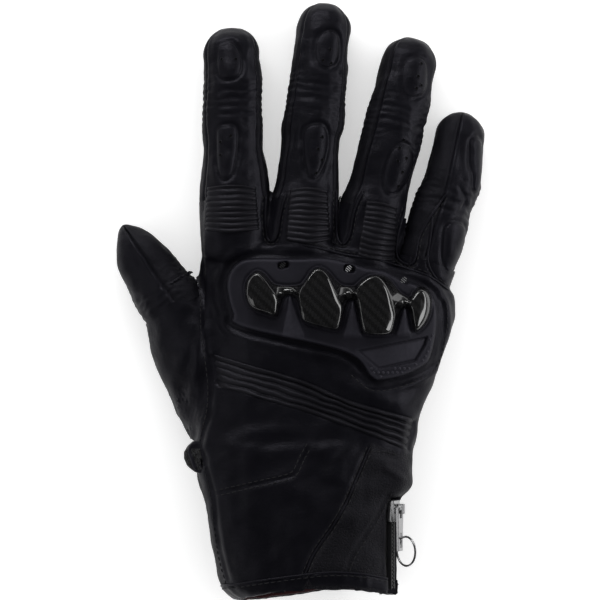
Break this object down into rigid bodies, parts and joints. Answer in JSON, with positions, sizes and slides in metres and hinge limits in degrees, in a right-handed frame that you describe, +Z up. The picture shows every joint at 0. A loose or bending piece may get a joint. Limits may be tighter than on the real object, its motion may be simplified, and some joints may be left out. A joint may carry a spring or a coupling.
{
  "type": "motorcycle riding glove",
  "caption": "Short-cuff leather riding glove for the right hand, with a hard knuckle guard, padded fingers, pleated finger folds, a side zip and a wrist strap.",
  "frame": {"origin": "centre of the bounding box's underside, on the surface that the glove lies on", "axes": "+Y towards the fingertips, +Z up out of the back of the hand, +X towards the little finger"},
  "size_m": [0.1604, 0.2558, 0.0481],
  "materials": {
    "leather": "smooth black cowhide, satin",
    "palm_leather": "grained black leather, matt satin",
    "stretch_leather": "thin ribbed black leather over elastic",
    "moulded": "moulded soft plastic, matt",
    "carbon": "carbon weave under a clear gloss coat",
    "steel": "polished plated metal",
    "fabric": "black woven tape and touch fastener"
  },
  "bodies": {
    "hand": {"back_panel": "leather", "back_stretch_panel": "stretch_leather", "cuff_back_panel": "leather", "cuff_palm_panel": "palm_leather", "cuff_side_panel": "leather", "hem_binding": "leather", "index_pleats": "stretch_leather", "knuckle_bezel": "moulded", "knuckle_shell": "carbon", "little_pleats": "stretch_leather", "middle_pleats": "stretch_leather", "palm_panel": "palm_leather", "palm_patch": "palm_leather", "ring_pleats": "stretch_leather", "strap_anchor": "leather", "strap_loop_patch": "fabric", "thumb_crease": "stretch_leather", "thumb_root_back": "leather", "thumb_root_front": "palm_leather", "web_index_middle": "leather", "web_middle_ring": "leather", "web_ring_little": "leather", "zip_tape": "fabric", "zip_teeth_back": "fabric", "zip_teeth_palm": "fabric"},
    "index_finger": {"index_mid_back": "leather", "index_mid_front": "palm_leather", "index_mid_pad": "leather", "index_crease": "stretch_leather"},
    "index_fingertip": {"index_tip_back": "leather", "index_tip_front": "palm_leather", "index_tip_pad": "leather"},
    "middle_finger": {"middle_mid_back": "leather", "middle_mid_front": "palm_leather", "middle_mid_pad": "leather", "middle_crease": "stretch_leather"},
    "middle_fingertip": {"middle_tip_back": "leather", "middle_tip_front": "palm_leather", "middle_tip_pad": "leather"},
    "ring_finger": {"ring_mid_back": "leather", "ring_mid_front": "palm_leather", "ring_mid_pad": "leather", "ring_crease": "stretch_leather"},
    "ring_fingertip": {"ring_tip_back": "leather", "ring_tip_front": "palm_leather", "ring_tip_pad": "leather"},
    "little_finger": {"little_mid_back": "leather", "little_mid_front": "palm_leather", "little_mid_pad": "leather", "little_crease": "stretch_leather"},
    "little_fingertip": {"little_tip_back": "leather", "little_tip_front": "palm_leather", "little_tip_pad": "leather"},
    "thumb_tip": {"thumb_tip_back": "leather", "thumb_tip_front": "palm_leather"},
    "slider": {"zip_slider": "steel"},
    "pull": {"zip_pull": "steel"},
    "ring": {"zip_ring": "steel"},
    "strap": {"wrist_strap": "leather", "strap_hook_patch": "fabric"}
  },
  "joints": [
    {"name": "index_base_bend", "type": "hinge", "parent": "hand", "child": "index_finger", "pos_m": [-0.02844, 0.03887, 0.01671], "axis": [-1, -0.0052, 0], "range_deg": [0, 70], "stiffness_Nm_per_rad": 0.05, "springref_deg": -17.19, "deforming": ["index_pleats", "web_index_middle"]},
    {"name": "index_tip_bend", "type": "hinge", "parent": "index_finger", "child": "index_fingertip", "pos_m": [-0.02868, 0.08504, 0.0135], "axis": [-1, -0.0052, 0], "range_deg": [0, 55], "stiffness_Nm_per_rad": 0.03, "springref_deg": -11.46, "deforming": ["index_crease"]},
    {"name": "middle_base_bend", "type": "hinge", "parent": "hand", "child": "middle_finger", "pos_m": [0.00253, 0.03607, 0.01701], "axis": [-0.9949, 0.1011, 0], "range_deg": [0, 70], "stiffness_Nm_per_rad": 0.05, "springref_deg": -17.19, "deforming": ["middle_pleats", "web_index_middle", "web_middle_ring"]},
    {"name": "middle_tip_bend", "type": "hinge", "parent": "middle_finger", "child": "middle_fingertip", "pos_m": [0.00761, 0.08608, 0.0135], "axis": [-0.9936, 0.1132, -0.0009], "range_deg": [0, 55], "stiffness_Nm_per_rad": 0.03, "springref_deg": -11.46, "deforming": ["middle_crease"]},
    {"name": "ring_base_bend", "type": "hinge", "parent": "hand", "child": "ring_finger", "pos_m": [0.03201, 0.03268, 0.01671], "axis": [-0.972, 0.2351, 0], "range_deg": [0, 70], "stiffness_Nm_per_rad": 0.05, "springref_deg": -17.19, "deforming": ["ring_pleats", "web_middle_ring", "web_ring_little"]},
    {"name": "ring_tip_bend", "type": "hinge", "parent": "ring_finger", "child": "ring_fingertip", "pos_m": [0.04258, 0.07634, 0.01358], "axis": [-0.9809, 0.1943, 0.0029], "range_deg": [0, 55], "stiffness_Nm_per_rad": 0.03, "springref_deg": -11.46, "deforming": ["ring_crease"]},
    {"name": "little_base_bend", "type": "hinge", "parent": "hand", "child": "little_finger", "pos_m": [0.05469, 0.01418, 0.01501], "axis": [-0.9563, 0.2924, 0], "range_deg": [0, 60], "stiffness_Nm_per_rad": 0.05, "springref_deg": -17.19, "deforming": ["little_pleats", "web_ring_little"]},
    {"name": "little_tip_bend", "type": "hinge", "parent": "little_finger", "child": "little_fingertip", "pos_m": [0.06351, 0.04293, 0.01292], "axis": [-0.9781, 0.2081, 0.0061], "range_deg": [0, 55], "stiffness_Nm_per_rad": 0.03, "springref_deg": -11.46, "deforming": ["little_crease"]},
    {"name": "thumb_bend", "type": "hinge", "parent": "hand", "child": "thumb_tip", "pos_m": [-0.05545, 0.00252, 0.01279], "axis": [-0.7765, -0.53, -0.3407], "range_deg": [0, 50], "stiffness_Nm_per_rad": 0.04, "springref_deg": -11.46, "deforming": ["thumb_crease"]},
    {"name": "zip_slide", "type": "slide", "parent": "hand", "child": "slider", "axis": [0, -1, 0], "range_m": [0, 0.028]},
    {"name": "zip_pull_swing", "type": "hinge", "parent": "slider", "child": "pull", "pos_m": [0.0431, -0.08822, 0.03511], "axis": [-0.3907, 0, 0.9205], "range_deg": [0, 120]},
    {"name": "zip_ring_swing", "type": "hinge", "parent": "pull", "child": "ring", "pos_m": [0.0431, -0.10162, 0.03511], "axis": [-0.7986, 0, 0.6018], "range_deg": [-5, 8]},
    {"name": "strap_peel", "type": "hinge", "parent": "hand", "child": "strap", "pos_m": [-0.04741, -0.06642, 0.0241], "axis": [0, 1, 0], "range_deg": [0, 100]}
  ]
}
